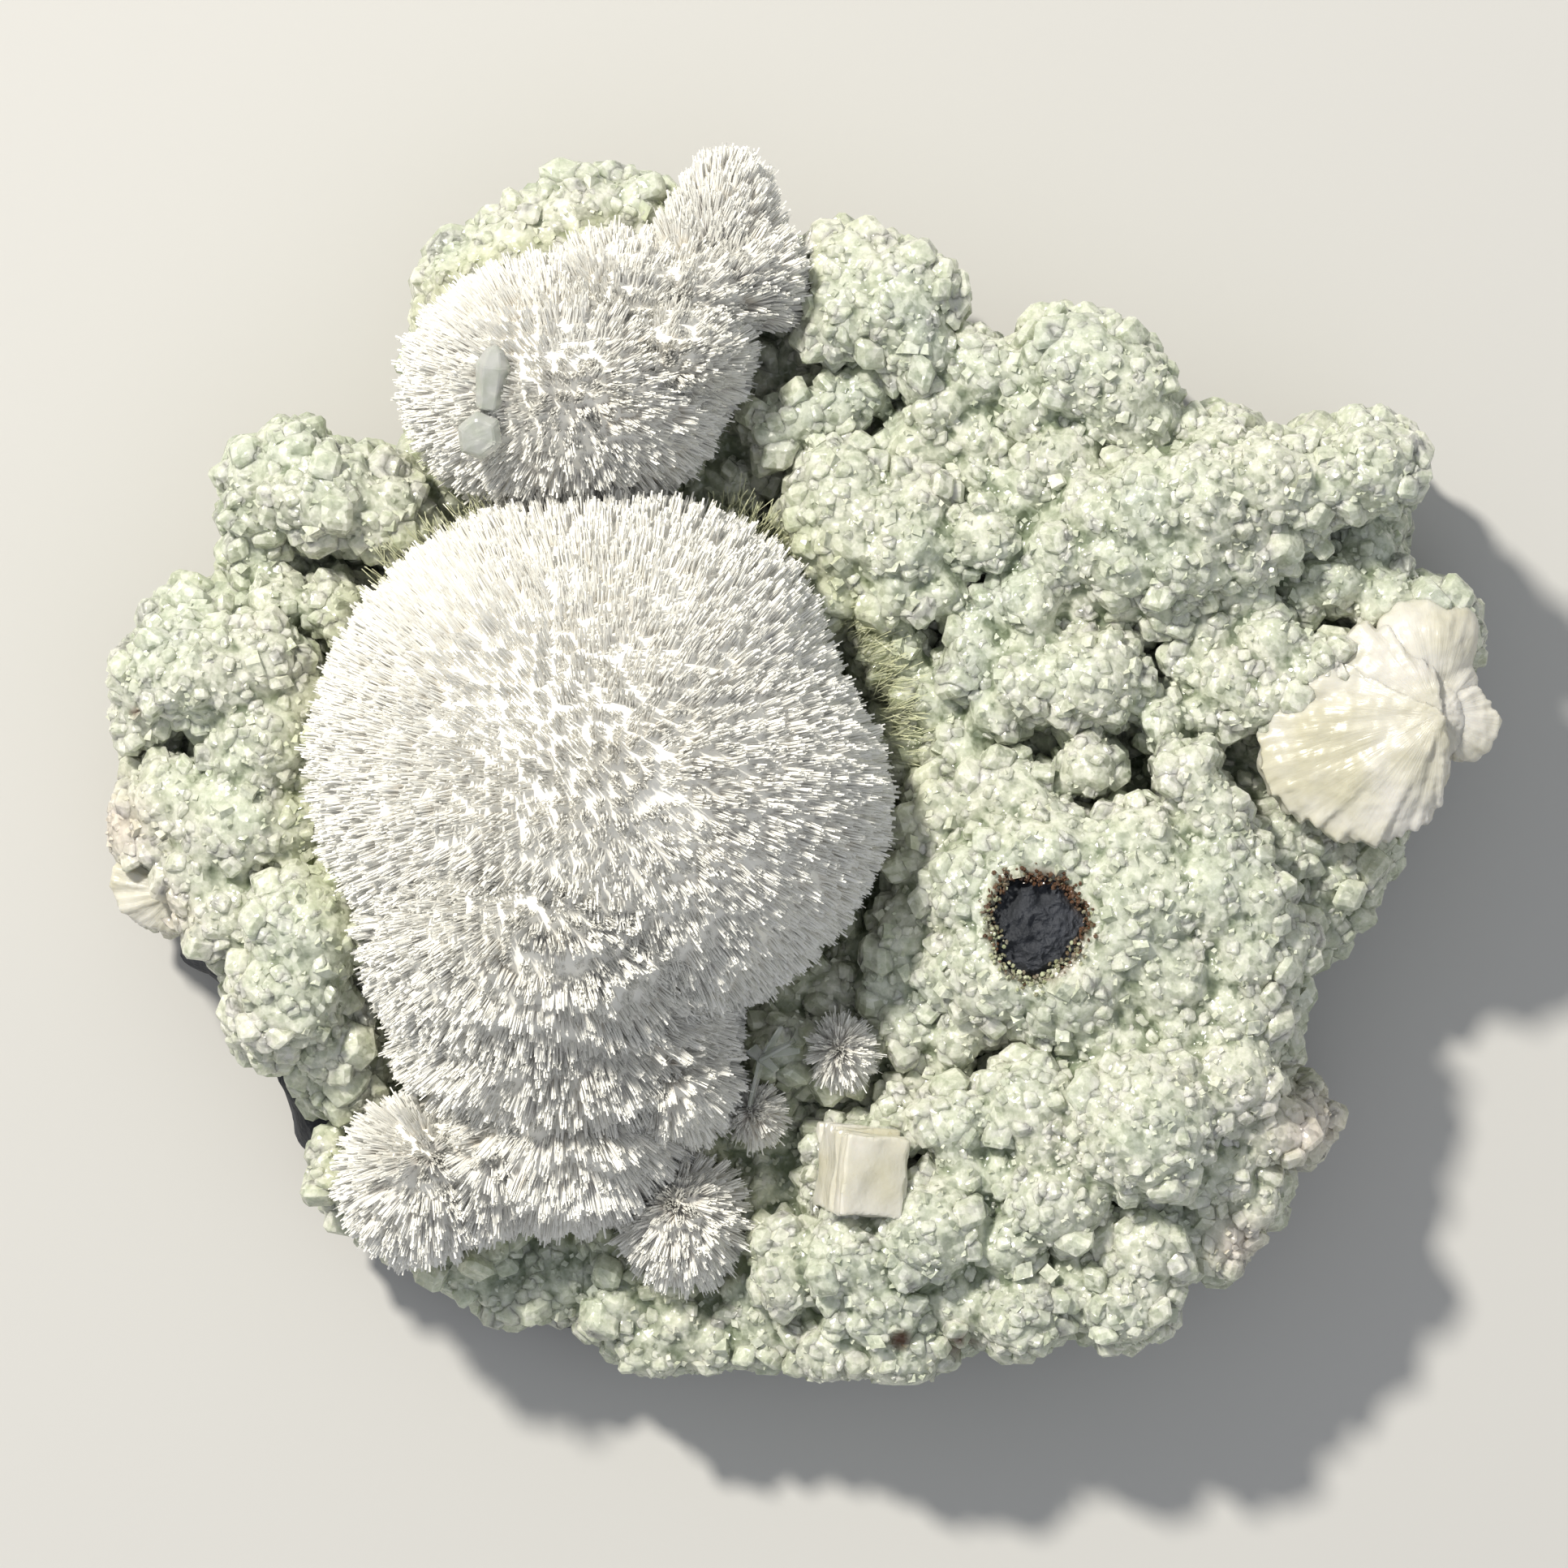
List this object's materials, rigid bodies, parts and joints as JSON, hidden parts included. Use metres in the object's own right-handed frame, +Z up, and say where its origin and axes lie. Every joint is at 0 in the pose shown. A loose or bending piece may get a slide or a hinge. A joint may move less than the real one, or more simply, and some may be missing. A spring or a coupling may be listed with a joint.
{
  "type": "mordenite and calcite mineral specimen",
  "caption": "Hand-sized mineral specimen: white balls of mordenite needles on a knobbly pale green calcite crust over dark basalt.",
  "frame": {"origin": "middle of the plan box, at the flat underside of the basalt that the specimen rests on", "axes": "+Z up out of the crystal side, +X to the right and +Y to the top of the specimen as it is seen from above with the fan of needles at the top and the cream sheaf at the right"},
  "size_m": [0.1398, 0.1242, 0.0589],
  "materials": {
    "basalt": "rough, nearly black, rust brown at its broken edges",
    "calcite": "translucent pale green druse of small glassy crystals",
    "mordenite": "silky white needles",
    "stilbite": "pearly cream blades",
    "clear_calcite": "clear to milky, glassy"
  },
  "bodies": {
    "root": {"basalt_matrix": "basalt", "calcite_crust": "calcite", "main_puff": "mordenite", "upper_puff": "mordenite", "lower_puff": "mordenite", "side_puff": "mordenite", "small_tuft": "mordenite", "stilbite_sheaf": "stilbite", "stilbite_edge": "stilbite", "stilbite_block": "stilbite", "puff_crystal_long": "clear_calcite", "puff_crystal_round": "clear_calcite", "clear_blades": "clear_calcite"}
  },
  "joints": []
}
